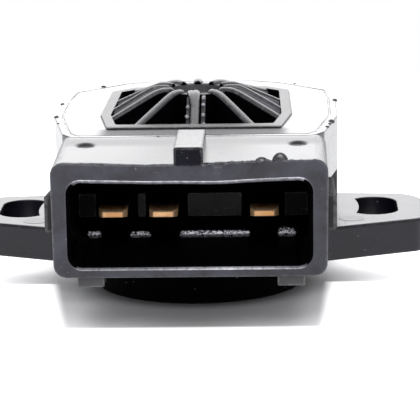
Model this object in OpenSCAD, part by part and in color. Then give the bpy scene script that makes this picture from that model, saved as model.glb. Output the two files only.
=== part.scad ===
// Throttle position sensor: a rotary potentiometer in a moulded case with a three-way
// plug socket, two slotted ears and a pilot collar that centres it on a throttle body.
// The origin is on the rotor axis, in the plane of the face that the ears seat on.
// +Z points away from the throttle body, the plug socket opens towards -Y and the ears
// lie along X. All sizes are in millimetres.

/* [Case] */
// Width of the case across the ears' direction
body_w = 29.4; // [28.6:0.1:31]
// Distance from the rotor axis to the front wall of the case
body_front = 15.6; // [15.2:0.1:17]
// Distance from the rotor axis to the rear wall of the case
body_rear = 19.2; // [18.6:0.1:22]
// Height of the case rim above the seat face
case_h = 13.95; // [13.7:0.05:14.8]
// Wall thickness of the case
wall = 1.7; // [1.6:0.05:1.9]
// Thickness of the case floor
floor_t = 1.4; // [1.2:0.1:1.6]
// Radius that rounds the upright corners of the case
case_corner_r = 0.9; // [0.7:0.1:1.1]

/* [Ears] */
// Distance between the centres of the two slots
slot_spacing = 38; // [37.6:0.1:39]
// Radius of a slot's rounded ends
slot_end_r = 2.55; // [2.45:0.05:2.7]
// Length of a slot along Y
slot_len = 9.1; // [8.4:0.1:9.6]
// Radius about the rotor axis of the slots' inner wall
slot_inner_r = 17; // [16.8:0.05:17.1]
// Thickness of the ears
ear_t = 3.5; // [3:0.1:4.5]
// Web left between a slot and the ear's outer edge
ear_web = 2.6; // [2.4:0.05:3.2]

/* [Pilot collar] */
// Diameter of the collar
collar_d = 22; // [21.8:0.05:22.6]
// Length of the collar below the seat face
collar_h = 4.45; // [4.3:0.05:5.2]

/* [Plug socket] */
// Outside width of the socket
socket_w = 26.7; // [26.3:0.1:27.1]
// Height of the socket's underside above the seat face
socket_foot = 2.15; // [2:0.05:2.4]
// Step from the case rim down to the socket's top
socket_step = 0.3; // [0.2:0.05:0.5]
// Distance from the rotor axis to the socket's open end
socket_front = 26.9; // [26:0.1:29]
// Thickness of the socket's side walls
socket_side_wall = 1.8; // [1.7:0.05:1.95]
// Thickness of the socket's top wall
socket_top_wall = 2.1; // [1.9:0.05:2.2]
// Thickness of the socket's bottom wall
socket_bottom_wall = 1.1; // [1:0.05:1.2]
// Radius of the socket's outside corners
socket_corner_r = 1.3; // [1:0.1:1.5]
// Thickness of the wall behind the socket's cavity
socket_back_wall = 1.5; // [1.3:0.1:1.7]
// Width of the latch nose on top of the socket
nose_w = 3; // [2.4:0.1:3.6]
// Height of the latch nose
nose_h = 1.35; // [1:0.05:1.6]
// Length of the latch nose
nose_len = 9.1; // [6:0.1:9.5]
// Height of the guide rails on the socket's sides
side_rail_h = 3.8; // [3:0.1:4.4]

/* [Terminals] */
// Width of a terminal blade
blade_w = 2.8; // [2.6:0.1:3]
// Thickness of a terminal blade
blade_t = 0.8; // [0.7:0.05:0.9]
// Distance between neighbouring terminal places
terminal_pitch = 5; // [4.9:0.05:5.1]
// Sideways shift of the terminals from the socket's middle
terminal_shift = -0.35; // [-0.5:0.05:0]
// Depth of the blade tips behind the socket's open end
blade_setback = 6.1; // [5.5:0.1:7]
// Depth of the blades below the middle of the socket's cavity
blade_drop = 0.23; // [0:0.01:0.5]

/* [Cover] */
// Thickness of the cover plate
cover_t = 1.55; // [1.4:0.05:1.8]
// Width of the case rim around the cover
rim_w = 0.65; // [0.55:0.05:0.75]
// Half width of the octagonal frame on the cover
frame_half_w = 9.95; // [9.6:0.05:10.3]
// Distance from the rotor axis to the frame's front edge
frame_front = 11.6; // [11.2:0.05:11.9]
// Distance from the rotor axis to the frame's rear edge
frame_rear = 13.6; // [13:0.1:14]
// Width of the frame's bar
frame_bar = 1.1; // [0.9:0.05:1.3]
// Width of the frame's front bar
frame_front_bar = 1.95; // [1.5:0.05:2.2]
// Height of the frame above the cover
frame_h = 0.2; // [0.15:0.05:0.5]
// Number of ribs around the hub
rib_count = 12; // [10:1:14]
// Extra turn of the two ribs beside the front one, in degrees
rib_lean = 1.5; // [0:0.25:3]
// Thickness of a rib
rib_t = 0.95; // [0.8:0.05:1.1]
// Height of the rib crowns above the cover
rib_rise = 2.7; // [2.3:0.1:3]
// Radius of the open well in the hub
hub_well_r = 2.9; // [2.8:0.05:3.3]
// Radius to which the rib crowns stay level
crown_r = 5; // [4.8:0.1:5.6]
// Depth of the pockets between the ribs, below the frame
pocket_depth = 1.95; // [1.7:0.05:2.1]

/* [Rotor] */
// Diameter of the drive socket for the throttle shaft
drive_d = 8; // [7.8:0.05:8.2]
// Distance from the axis to the drive socket's flat
drive_flat = 3.2; // [3.1:0.05:3.3]
// Depth of the drive socket
drive_depth = 8.4; // [8:0.1:9.4]
// Diameter of the rotor's lower journal
journal_d = 12; // [11.8:0.1:12.2]
// Diameter of the rotor's upper journal
top_journal_d = 5; // [4.6:0.1:5.2]
// Radial running clearance of the two journals
running_gap = 0.05; // [0.03:0.01:0.08]
// Diameter of the rotor's flange
flange_d = 20.4; // [20:0.1:20.6]
// Travel of the rotor in degrees
travel = 95; // [80:1:100]

/* [Track board] */
// Thickness of the track board
board_t = 0.8; // [0.7:0.05:0.9]
// Depth of the board's track side below the case rim
board_drop = 4.35; // [4.25:0.05:4.45]
// Middle radius of the resistive track
resist_r = 5.8; // [5.6:0.05:5.95]
// Middle radius of the collector track
collector_r = 8.2; // [8:0.05:8.4]
// Width of both tracks
track_w = 1.2; // [1:0.1:1.3]

/* [Hidden] */
$fn = 64;
eps = 0.01;
seat_gap = 0.02;
slot_x = slot_spacing / 2 - 0.45;

// Case outline, front to rear along the right side, as driving points
flare_y = -4.2;
front_half_w = body_w / 2 - 2.6;
front_cut = 2;
rear_corner_y = 7.2;
rear_cut = 5.6;
case_half = [[front_half_w, -body_front], [body_w / 2 - 1.5, front_cut - body_front],
    [body_w / 2, flare_y], [body_w / 2, body_rear - rear_corner_y - 6],
    [body_w / 2 - 0.5, body_rear - rear_corner_y], [body_w / 2 - rear_cut, body_rear - 1.6],
    [body_w / 2 - 8.8, body_rear]];
case_outline = both_sides(case_half);

// Frame outline on the cover, the same way
frame_cut = 1.1;
frame_widest_y = -3.8;
frame_half = [[frame_half_w - frame_cut, -frame_front], [frame_half_w, frame_widest_y],
    [frame_half_w - 0.3, frame_rear - 2.6], [frame_half_w - 2.7, frame_rear]];
frame_outline = both_sides(frame_half);
frame_bar_shift = frame_front_bar - frame_bar;

// Heights that several pieces share
cover_top = case_h;
ledge_z = cover_top - cover_t;
frame_top = cover_top + frame_h;
crown_z = cover_top + rib_rise;
pocket_z = frame_top - pocket_depth;
pan_t = 1;
pan_z = pocket_z - pan_t;
board_z = case_h - board_drop;
board_top = board_z + board_t;
socket_top = case_h - socket_step;
socket_bottom = socket_foot;

// Cover fit
seal_w = 0.25;
cover_inset = rim_w + seal_w + 2 * seat_gap;

// Plug socket
cavity_half_w = socket_w / 2 - socket_side_wall;
cavity_bottom = socket_bottom + socket_bottom_wall;
cavity_top = socket_top - socket_top_wall;
blade_z = (cavity_bottom + cavity_top) / 2 - blade_drop;
inner_front = body_front - wall - 0.9;
cavity_back = inner_front + socket_back_wall;
cavity_corner_r = 1.25;
mouth_chamfer = 0.3;
shelf_len = 2;
chamber_shift = 0.2;
shelf_h = 2.4;
inner_half_w = body_w / 2 - 1.5;
chamber_w = blade_w + 1.4;
rail_out = 0.85;
rail_start = 2;
foot_rail_w = 2.65;
foot_rail_h = 1.05;
foot_rail_x = 9.7;
dimple_r = 0.85;
dimple_x = 10.5;
dimple_y = body_front + 3;
terminal_x = [for (k = [-1.5, -0.5, 1.5]) k * terminal_pitch + terminal_shift];
tail_w = 1.2;
tail_y = -inner_front + 1.5;
tail_top = board_top + 0.7;
tail_clear = 0.15;

// Rotor stack, from the collar upwards
journal_r = journal_d / 2;
bearing_r = journal_r + running_gap;
bearing_wall = 1.4;
bearing_bottom = -1.4;
washer_t = 0.3;
flange_t = 1.3;
drum_r = 7;
drum_h = 2;
carrier_t = 1;
wiper_room = 0.9;
carrier_top = board_z - wiper_room;
drum_top = carrier_top - carrier_t;
flange_z = drum_top - drum_h - flange_t;
bearing_top = flange_z - washer_t - 0.1;
journal_end = -collar_h + 0.6;
clip_z = bearing_bottom - 0.65;
clip_t = 0.5;
clip_groove = 0.6;
seal_bore_r = journal_r + 2.6;
seal_len = 1.8;
top_journal_r = top_journal_d / 2;
hub_bearing_r = top_journal_r + running_gap;
hub_wall = 0.9;
hub_bearing_top = crown_z - 2.1;
leaf_t = 0.25;
leaf_w = 3;
leaf_bow = 0.3;
leaf_z = journal_end + 1.2;
leaf_len = drive_depth - 2.2;
guide_r = flange_d / 2 + 0.4;
guide_wall = 0.9;
guide_top = flange_z + flange_t;

// Angles about the rotor axis, from +X towards +Y
stop_angle = 95;
stop_width = 9;
stop_play = 2;
park_angle = 212;
track_span = travel + 24;
lead_w = 0.8;
resist_extra = 10;
track_mid = park_angle + travel / 2;
track_t = 0.06;
wiper_gap = 0.03;
wiper_t = 0.15;
rivet_r = 0.5;
rivet_hole = 1.2;
rivet_at = drum_r - 0.9;
rivet_angles = [park_angle - 41, park_angle - 26];
sheet_from = park_angle - 48;
sheet_to = park_angle - 17;
peg_r = 0.75;
peg_head = 0.35;
rear_peg = [body_w / 2 - 4.3, body_rear - 9.6];
front_peg = [body_w / 2 - 3.7, 8 - body_front];
peg_xy = [rear_peg, [-rear_peg[0], rear_peg[1]], front_peg, [-front_peg[0], front_peg[1]]];
lead_x = front_peg[0] - 1.7;

// Mirrors a list of right-hand points to a closed outline that runs anticlockwise
function both_sides(half) = concat(half,
    [for (i = [len(half) - 1:-1:0]) [-half[i][0], half[i][1]]]);

function unit(v) = v / norm(v);

// Outline of the open field inside the frame, whose front bar is wider than its others
inner_front_corner = frame_half[0] + [frame_cut / 8, frame_bar_shift];
inner_outline = inset(both_sides([inner_front_corner, frame_half[1], frame_half[2], frame_half[3]]),
    frame_bar);

// Outline of the room inside the case
interior_half = concat([[inner_half_w - 0.1, -inner_front - wall]], [for (i = [2:6]) case_half[i]]);
interior = inset(both_sides(interior_half), wall);

// Inward normal of the edge from a to b of an anticlockwise outline
function inward(a, b) = unit([a[1] - b[1], b[0] - a[0]]);

// Moves every edge of an outline inwards by d
function inset(pts, d) = [for (i = [0:len(pts) - 1])
    let (a = pts[(i + len(pts) - 1) % len(pts)], b = pts[i], c = pts[(i + 1) % len(pts)],
        n1 = inward(a, b), n2 = inward(b, c))
    b + d * (n1 + n2) / (1 + n1 * n2)];

// Points of the arc of radius r that rounds the corner b between a and c
function corner_arc(a, b, c, r, steps) =
    let (u = unit(a - b), v = unit(c - b), half = acos(u * v) / 2,
        centre = b + unit(u + v) * r / sin(half),
        p = b + u * r / tan(half) - centre, q = b + v * r / tan(half) - centre,
        from = atan2(p[1], p[0]), turn = (atan2(q[1], q[0]) - from + 540) % 360 - 180)
    [for (i = [0:steps]) centre + r * [cos(from + turn * i / steps), sin(from + turn * i / steps)]];

// Rounds every corner of an outline with radius r
function rounded(pts, r, steps = 4) = [for (i = [0:len(pts) - 1])
    each corner_arc(pts[(i + len(pts) - 1) % len(pts)], pts[i], pts[(i + 1) % len(pts)], r, steps)];

// A flat ring sector between two radii, from one angle to another
function sector(r1, r2, from, to, steps = 24) = concat(
    [for (i = [0:steps]) let (a = from + (to - from) * i / steps) r2 * [cos(a), sin(a)]],
    [for (i = [steps:-1:0]) let (a = from + (to - from) * i / steps) r1 * [cos(a), sin(a)]]);

// Upright prism of an outline between two heights
module prism(pts, z1, z2) {
    translate([0, 0, z1]) linear_extrude(z2 - z1) polygon(pts);
}

// Ring around the rotor axis between two heights
module ring(r_out, r_in, z1, z2) {
    translate([0, 0, z1]) difference() {
        cylinder(r = r_out, h = z2 - z1);
        translate([0, 0, -eps]) cylinder(r = r_in, h = z2 - z1 + 2 * eps);
    }
}

// Rounded rectangle standing in XZ, from one Y to another
module upright_slab(half_w, z1, z2, r, y1, y2) {
    outline = rounded([[-half_w, z1], [half_w, z1], [half_w, z2], [-half_w, z2]], r, 5);
    translate([0, y2, 0]) rotate([90, 0, 0]) linear_extrude(y2 - y1) polygon(outline);
}

// One ear in plan: a tapered lobe with two rounded outer corners
module ear_plan(side) {
    tip_x = slot_x + slot_end_r + ear_web;
    near = [tip_x, -slot_len / 2 - 1.4];
    far = [tip_x + 0.1, slot_len / 2 + 1.9];
    root_near = [inner_half_w, -10.5];
    root_far = [inner_half_w, slot_len / 2 + 2.7];
    scale([side, 1]) polygon(concat([root_near], corner_arc(root_near, near, far, 2, 8),
        corner_arc(near, far, root_far, 3.6, 8), [root_far]));
}

// Slot of one ear: an upright obround whose inner side is the arc about the rotor axis
module ear_slot(side) {
    half_run = slot_len / 2 - slot_end_r;
    difference() {
        union() {
            for (y = [-half_run, half_run])
                translate([side * slot_x, y, -eps]) cylinder(r = slot_end_r, h = ear_t + 2 * eps);
            translate([side * slot_x - slot_end_r, -half_run, -eps])
                cube([2 * slot_end_r, 2 * half_run, ear_t + 2 * eps]);
        }
        translate([0, 0, -2 * eps]) cylinder(r = slot_inner_r, h = ear_t + 4 * eps);
    }
}

// Plug socket with its cavity, terminal chambers, latch nose and rails
module socket_outside() {
    upright_slab(socket_w / 2, socket_bottom, socket_top, socket_corner_r,
        -socket_front, -inner_front);
    translate([-nose_w / 2, -socket_front, socket_top - eps]) cube([nose_w, nose_len, nose_h + eps]);
    rail_mid = (socket_top + socket_bottom) / 2 + 0.2;
    for (side = [-1, 1])
        translate([side * socket_w / 2, -socket_front + rail_start, rail_mid]) rotate([-90, 0, 0])
            linear_extrude(socket_front - rail_start + flare_y)
                polygon([[-0.5, -side_rail_h / 2], [0.5, -side_rail_h / 2],
                    [rail_out, -side_rail_h / 2 + 0.4], [rail_out, side_rail_h / 2 - 0.4],
                    [0.5, side_rail_h / 2], [-0.5, side_rail_h / 2]] * (side > 0
                        ? [[1, 0], [0, 1]] : [[-1, 0], [0, 1]]));
    for (side = [-1, 1])
        translate([side * foot_rail_x - foot_rail_w / 2, -socket_front + 0.6,
            socket_bottom - foot_rail_h])
            cube([foot_rail_w, socket_front - body_front, foot_rail_h + 0.5]);
}

module socket_cavity() {
    difference() {
        upright_slab(cavity_half_w, cavity_bottom, cavity_top, cavity_corner_r,
            -socket_front - eps, -cavity_back);
        difference() {
            translate([-cavity_half_w, -cavity_back - shelf_len, blade_z - shelf_h / 2])
                cube([2 * cavity_half_w, shelf_len + eps, shelf_h]);
            for (x = terminal_x)
                translate([x + chamber_shift - chamber_w / 2, -cavity_back - shelf_len - eps,
                    blade_z - shelf_h / 2 - eps])
                    cube([chamber_w, shelf_len + 1, shelf_h + 2 * eps]);
        }
    }
    mouth = rounded([[-cavity_half_w, cavity_bottom], [cavity_half_w, cavity_bottom],
        [cavity_half_w, cavity_top], [-cavity_half_w, cavity_top]], cavity_corner_r, 5);
    wide = rounded([[-cavity_half_w - mouth_chamfer, cavity_bottom - mouth_chamfer],
        [cavity_half_w + mouth_chamfer, cavity_bottom - mouth_chamfer],
        [cavity_half_w + mouth_chamfer, cavity_top + mouth_chamfer],
        [-cavity_half_w - mouth_chamfer, cavity_top + mouth_chamfer]],
        cavity_corner_r + mouth_chamfer, 5);
    n = len(mouth);
    y_in = -socket_front + mouth_chamfer;
    y_out = -socket_front - eps;
    polyhedron(
        points = concat([for (p = wide) [p[0], y_out, p[1]]], [for (p = mouth) [p[0], y_in, p[1]]]),
        faces = concat([[for (i = [0:n - 1]) i]], [[for (i = [n - 1:-1:0]) n + i]],
            [for (i = [0:n - 1]) [(i + 1) % n, i, n + i, n + (i + 1) % n]]));
}

// One moulding: case, socket, ears, collar, bearing and stop
module housing() {
    color([0.10, 0.10, 0.11]) difference() {
        union() {
            prism(rounded(case_outline, case_corner_r), 0, case_h);
            for (side = [-1, 1]) linear_extrude(ear_t) ear_plan(side);
            translate([0, 0, -collar_h]) cylinder(d = collar_d, h = collar_h + eps);
            socket_outside();
        }
        difference() {
            union() {
                prism(rounded(interior, 0.8), floor_t, ledge_z + eps);
                prism(rounded(inset(case_outline, rim_w), case_corner_r), ledge_z, case_h + eps);
            }
            ring(guide_r + guide_wall, guide_r, floor_t - eps, guide_top);
            ring(bearing_r + bearing_wall, bearing_r, floor_t - eps, bearing_top);
            translate([0, 0, floor_t]) linear_extrude(guide_top - floor_t)
                polygon(sector(guide_r - 1.7, guide_r + guide_wall / 2, stop_angle - stop_width / 2,
                    stop_angle + stop_width / 2, 4));
        }
        for (side = [-1, 1]) ear_slot(side);
        socket_cavity();
        for (x = terminal_x)
            translate([x - blade_w / 2, -cavity_back - 1, blade_z - blade_t / 2])
                cube([blade_w, socket_back_wall + 2, blade_t]);
        for (side = [-1, 1])
            translate([side * dimple_x, -dimple_y, socket_top - 0.3]) cylinder(r = dimple_r, h = 1);
        translate([0, 0, -collar_h - eps]) cylinder(r = seal_bore_r, h = collar_h + bearing_bottom + eps);
        translate([0, 0, bearing_bottom - eps])
            cylinder(r = bearing_r, h = floor_t - bearing_bottom + 2 * eps);
    }
}

// Plate with the octagonal frame, the ribbed hub, the top bearing and four board pegs
module cover() {
    plate = rounded(inset(case_outline, cover_inset), case_corner_r);
    color([0.09, 0.09, 0.10]) difference() {
        union() {
            difference() {
                union() {
                    prism(plate, ledge_z + seat_gap, cover_top);
                    prism(frame_outline, cover_top - eps, frame_top);
                    prism(inner_frame_pan(), pan_z, cover_top - eps);
                }
                prism(inner_outline, pocket_z, frame_top + eps);
            }
            rib_crown();
            translate([0, 0, pan_z]) cylinder(r = hub_well_r + hub_wall, h = crown_z - 0.45 - pan_z);
            for (p = peg_xy) {
                translate([p[0], p[1], board_top + seat_gap])
                    cylinder(r = peg_r + 0.6, h = ledge_z + 0.5 - board_top);
                translate([p[0], p[1], board_z - 0.7]) cylinder(r = peg_r, h = ledge_z - board_z);
                translate([p[0], p[1], board_z - 0.7])
                    cylinder(r1 = peg_r + 0.1, r2 = peg_r + peg_head, h = 0.7 - seat_gap);
            }
        }
        translate([0, 0, pan_z - 1]) cylinder(r = hub_bearing_r, h = hub_bearing_top - pan_z + 1);
        translate([0, 0, hub_bearing_top + 0.8]) cylinder(r = hub_well_r, h = rib_rise + 2);
    }
}

// The pan below the ribs is a bar's width wider than the pockets
function inner_frame_pan() = inset(frame_outline, frame_bar - pan_t + 0.2);

// The first rib after the front one leans one way and the last rib the other
function lean_side(i) = i == 1 ? 1 : i == rib_count - 1 ? -1 : 0;

// Radial ribs under a hipped crown that runs from inside the frame's bar up to the hub
module rib_crown() {
    rib_root = 0.2;
    intersection() {
        hull() {
            prism(inset(inner_outline, -rib_root), pocket_z - 0.2, frame_top - 0.02);
            translate([0, 0, pocket_z])
                cylinder(r = crown_r + 1.2, h = crown_z - 0.28 - pocket_z, $fn = 32);
            translate([0, 0, pocket_z]) cylinder(r = crown_r, h = crown_z - pocket_z, $fn = 32);
        }
        union() for (i = [0:rib_count - 1])
            rotate([0, 0, -90 + i * 360 / rib_count + rib_lean * lean_side(i)])
                translate([hub_well_r, -rib_t / 2, pocket_z - 0.2]) cube([20, rib_t, crown_z]);
    }
}

// Bead that seals the cover in the case rim
module cover_seal() {
    color([0.03, 0.03, 0.03]) difference() {
        prism(rounded(inset(case_outline, rim_w + seat_gap), case_corner_r),
            ledge_z + seat_gap, case_h - 0.04);
        prism(rounded(inset(case_outline, rim_w + seat_gap + seal_w), case_corner_r),
            ledge_z, case_h + 1);
    }
}

// Blade with a chamfered tip, a narrow tail and a bend up to the board
module terminal(x) {
    tip_y = -socket_front + blade_setback;
    tip_len = 1;
    blade_back = tail_y - 0.9;
    color([0.80, 0.50, 0.28]) translate([x, 0, blade_z]) {
        hull() {
            translate([-blade_w / 2 + 0.4, tip_y, -blade_t / 2 + 0.15])
                cube([blade_w - 0.8, 0.1, blade_t - 0.3]);
            translate([-blade_w / 2, tip_y + tip_len, -blade_t / 2]) cube([blade_w, 0.1, blade_t]);
        }
        translate([-blade_w / 2, tip_y + tip_len, -blade_t / 2])
            cube([blade_w, blade_back - tip_y - tip_len, blade_t]);
        translate([-tail_w / 2, blade_back - eps, -blade_t / 2])
            cube([tail_w, tail_y - blade_back + blade_t / 2 + eps, blade_t]);
        translate([-tail_w / 2, tail_y - blade_t / 2, -blade_t / 2])
            cube([tail_w, blade_t, tail_top - blade_z + blade_t / 2]);
    }
}
module terminal_1() { terminal(terminal_x[0]); }
module terminal_2() { terminal(terminal_x[1]); }
module terminal_3() { terminal(terminal_x[2]); }

// Solder cone round a tail on the board's upper side
module solder_joint(x) {
    color([0.75, 0.76, 0.78]) translate([x, tail_y, board_top + seat_gap]) difference() {
        cylinder(r1 = tail_w * 0.95, r2 = tail_w * 0.7, h = 0.5);
        translate([-tail_w / 2 - seat_gap, -blade_t / 2 - seat_gap, -1])
            cube([tail_w + 2 * seat_gap, blade_t + 2 * seat_gap, 3]);
    }
}
module solder_joint_1() { solder_joint(terminal_x[0]); }
module solder_joint_2() { solder_joint(terminal_x[1]); }
module solder_joint_3() { solder_joint(terminal_x[2]); }

// Board that carries the tracks on its underside and hangs on the cover's pegs
module track_board() {
    edge_half = concat([for (i = [0:2]) interior_half[i]],
        [[body_w / 2 - 0.35, rear_peg[1] + 3.7]]);
    color([0.72, 0.70, 0.60]) difference() {
        prism(rounded(inset(both_sides(edge_half), wall + 0.4), 0.5), board_z, board_top);
        translate([0, 0, board_z - 1]) cylinder(r = top_journal_r + 0.6, h = 3);
        for (p = peg_xy) translate([p[0], p[1], board_z - 1]) cylinder(r = peg_r + seat_gap, h = 3);
        for (x = terminal_x)
            translate([x - tail_w / 2 - tail_clear, tail_y - blade_t / 2 - tail_clear, board_z - 1])
                cube([tail_w + 2 * tail_clear, blade_t + 2 * tail_clear, 3]);
    }
}

// Flat strip between two points with round ends
module lead(a, b) {
    turn = atan2(b[1] - a[1], b[0] - a[0]);
    for (p = [a, b]) translate(p) circle(d = lead_w, $fn = 24);
    translate(a) rotate(turn) translate([0, -lead_w / 2]) square([norm(b - a), lead_w]);
}

// Contact pads round the three tails and the leads that run from them to the tracks
module contact_pads() {
    pads = [for (x = terminal_x) [x, tail_y]];
    half_span = track_span / 2 + resist_extra;
    ends = [for (a = [track_mid - half_span, track_mid + half_span])
        (resist_r + track_w / 2 + 0.1) * [cos(a), sin(a)]];
    way = [[-lead_x, -9.4], [-lead_x, -2.4], [lead_x, -9.4], [lead_x, -4.4]];
    color([0.80, 0.80, 0.76]) translate([0, 0, board_z - track_t]) linear_extrude(track_t - 0.005)
        difference() {
            union() {
                for (p = pads) translate([p[0] - 1.1, p[1] - 0.95]) square([2.2, 1.9]);
                lead(pads[0], way[0]);
                lead(way[0], way[1]);
                lead(way[1], ends[0]);
                lead(pads[1], [pads[1][0], -collector_r]);
                lead(pads[2], way[2]);
                lead(way[2], way[3]);
                lead(way[3], ends[1]);
            }
            circle(r = resist_r + track_w / 2 + 0.02);
            polygon(sector(1, collector_r + track_w / 2 + 0.02, track_mid - track_span / 2,
                track_mid + track_span / 2, 40));
            for (p = pads) translate([p[0] - tail_w / 2 - tail_clear, p[1] - blade_t / 2 - tail_clear])
                square([tail_w + 2 * tail_clear, blade_t + 2 * tail_clear]);
        }
}

// Printed arc on the board's underside
module track(r, span) {
    translate([0, 0, board_z - track_t]) linear_extrude(track_t - 0.005)
        polygon(sector(r - track_w / 2, r + track_w / 2,
            track_mid - span / 2, track_mid + span / 2, 40));
}
module resistive_track() { color([0.12, 0.12, 0.13]) track(resist_r, track_span + 2 * resist_extra); }
module collector_track() { color([0.62, 0.60, 0.55]) track(collector_r, track_span); }

// Drive socket, journals and stop flange in one moulding
module rotor() {
    color([0.78, 0.74, 0.62]) difference() {
        union() {
            translate([0, 0, journal_end]) cylinder(r = journal_r, h = flange_z - journal_end + eps);
            translate([0, 0, flange_z]) cylinder(d = flange_d, h = flange_t);
            translate([0, 0, flange_z]) cylinder(r = drum_r, h = drum_top - flange_z);
            translate([0, 0, flange_z]) cylinder(r = top_journal_r, h = hub_bearing_top - 0.3 - flange_z);
        }
        difference() {
            translate([0, 0, journal_end - eps]) cylinder(d = drive_d, h = drive_depth + eps);
            translate([drive_flat, -drive_d, journal_end - 1]) cube([drive_d, 2 * drive_d, drive_depth + 2]);
        }
        ring(journal_r + 1, journal_r - clip_groove, clip_z - seat_gap, clip_z + clip_t + seat_gap);
        prism(sector(guide_r - 1.7 - 0.35, guide_r + 2, stop_angle - stop_width / 2 - stop_play - travel,
            stop_angle + stop_width / 2 + stop_play), flange_z - 1, flange_z + flange_t + 1);
        for (a = rivet_angles) rotate([0, 0, a])
            translate([rivet_at, 0, drum_top - rivet_hole]) cylinder(r = rivet_r, h = 2);
        translate([drive_flat - 0.5, -leaf_w / 2 - 0.1, leaf_z - 0.1])
            cube([0.5 + 2 * leaf_t + 0.05, leaf_w + 0.2, leaf_len + 0.2]);
    }
}

// Arm that carries the wiper over the tracks
module wiper_carrier() {
    reach = collector_r + track_w / 2;
    color([0.80, 0.78, 0.70]) difference() {
        union() {
            ring(drum_r, top_journal_r + 0.1, drum_top + seat_gap, carrier_top);
            translate([0, 0, drum_top + seat_gap]) linear_extrude(carrier_t - seat_gap)
                polygon(sector(drum_r - 1, reach, sheet_from - 2, park_angle + 12, 12));
        }
        for (a = rivet_angles) rotate([0, 0, a])
            translate([rivet_at, 0, drum_top - 1]) cylinder(r = rivet_r, h = 3);
    }
}

// Two pins that fix the wiper and its carrier to the drum
module wiper_rivets() {
    foot = drum_top - rivet_hole + seat_gap;
    head = carrier_top + wiper_t + 2 * seat_gap;
    color([0.82, 0.74, 0.50]) for (a = rivet_angles) rotate([0, 0, a]) translate([rivet_at, 0, 0]) {
        translate([0, 0, foot]) cylinder(r = rivet_r - seat_gap, h = head + 0.1 - foot);
        translate([0, 0, head]) cylinder(r1 = 0.72, r2 = 0.5, h = 0.22);
    }
}

// Spring sheet with a pair of fingers on each track
module wiper() {
    finger_w = 0.38;
    lift = board_z - track_t - wiper_gap - carrier_top - seat_gap;
    color([0.86, 0.76, 0.48]) {
        difference() {
            translate([0, 0, carrier_top + seat_gap]) linear_extrude(wiper_t)
                polygon(sector(resist_r - 0.8, collector_r + track_w / 2, sheet_from, sheet_to, 8));
            for (a = rivet_angles) rotate([0, 0, a])
                translate([rivet_at, 0, carrier_top - 1]) cylinder(r = rivet_r, h = 3);
        }
        for (r = [resist_r, collector_r], s = [-1, 1]) rotate([0, 0, park_angle])
            translate([r + s * 0.33 - finger_w / 2, 0, 0]) finger(r, finger_w, lift);
    }
}

// One finger: a thin strip that rises from the sheet to the track and turns over at its tip
module finger(r, w, lift) {
    start = -r * sin(20) - 0.3;
    translate([0, 0, carrier_top + seat_gap]) rotate([90, 0, 90]) linear_extrude(w)
        polygon([[start, 0], [start + 0.5, 0], [-0.25, lift - wiper_t], [0.25, lift - wiper_t],
            [0.8, lift - wiper_t - 0.25], [0.8, lift - 0.25], [0.25, lift], [-0.25, lift],
            [start + 0.4, wiper_t], [start, wiper_t]]);
}

// Bowed leaf that takes up the play on the throttle shaft's flat
module drive_spring() {
    steps = 10;
    bow = [for (i = [0:steps]) [drive_flat + leaf_t - leaf_bow * sin(180 * i / steps),
        leaf_z + leaf_len * i / steps]];
    color([0.72, 0.73, 0.75]) translate([0, leaf_w / 2, 0]) rotate([90, 0, 0]) linear_extrude(leaf_w)
        polygon(concat(bow, [for (i = [steps:-1:0]) [bow[i][0] + leaf_t, bow[i][1]]]));
}

// Washer between the rotor's flange and the bearing
module thrust_washer() {
    color([0.55, 0.56, 0.58])
        ring(bearing_r + bearing_wall - 0.2, journal_r + 0.1, bearing_top + seat_gap, bearing_top + washer_t);
}

// Open clip that holds the rotor down in its bearing
module retaining_clip() {
    color([0.45, 0.46, 0.48]) difference() {
        ring(journal_r + 1.1, journal_r - clip_groove + seat_gap, clip_z, clip_z + clip_t);
        translate([0, -1.6, clip_z - 1]) cube([20, 3.2, 3]);
    }
}

// Lip seal in the collar's bore
module shaft_seal() {
    lip_z = -collar_h + 0.4;
    color([0.12, 0.10, 0.09]) rotate_extrude() polygon([
        [seal_bore_r - seat_gap, lip_z], [seal_bore_r - seat_gap, lip_z + seal_len],
        [journal_r + 1.2, lip_z + seal_len], [journal_r + 1.2, lip_z + 0.9],
        [journal_r + running_gap, lip_z + 0.7], [journal_r + running_gap, lip_z + 0.45],
        [journal_r + 0.8, lip_z]]);
}

housing();
cover();
cover_seal();
terminal_1();
terminal_2();
terminal_3();
solder_joint_1();
solder_joint_2();
solder_joint_3();
track_board();
contact_pads();
resistive_track();
collector_track();
rotor();
wiper_carrier();
wiper();
wiper_rivets();
drive_spring();
thrust_washer();
retaining_clip();
shaft_seal();
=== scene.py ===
import math

import bpy
import numpy as np
from mathutils import Matrix, Vector


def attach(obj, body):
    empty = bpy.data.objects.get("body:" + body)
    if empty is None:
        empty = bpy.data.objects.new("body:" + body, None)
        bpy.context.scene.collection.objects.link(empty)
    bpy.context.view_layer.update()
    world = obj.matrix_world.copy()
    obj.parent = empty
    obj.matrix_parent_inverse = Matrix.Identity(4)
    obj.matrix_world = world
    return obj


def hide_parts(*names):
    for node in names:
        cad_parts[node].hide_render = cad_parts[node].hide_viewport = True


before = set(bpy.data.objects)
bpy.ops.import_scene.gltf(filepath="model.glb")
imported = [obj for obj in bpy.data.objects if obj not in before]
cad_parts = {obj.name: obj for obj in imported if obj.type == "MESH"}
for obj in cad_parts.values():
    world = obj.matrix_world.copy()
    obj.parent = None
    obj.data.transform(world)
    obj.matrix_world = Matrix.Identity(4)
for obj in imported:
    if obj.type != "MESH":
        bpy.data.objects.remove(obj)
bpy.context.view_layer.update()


# Case
# The tub that holds the works: one moulding of black glass-filled plastic with a flat rim
# round the cover, slanted front corners and a faceted rear. The mould parts at the rim, so
# that edge is crisp and the foot is rounded. The wall is glossy only in its upper part.

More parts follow.
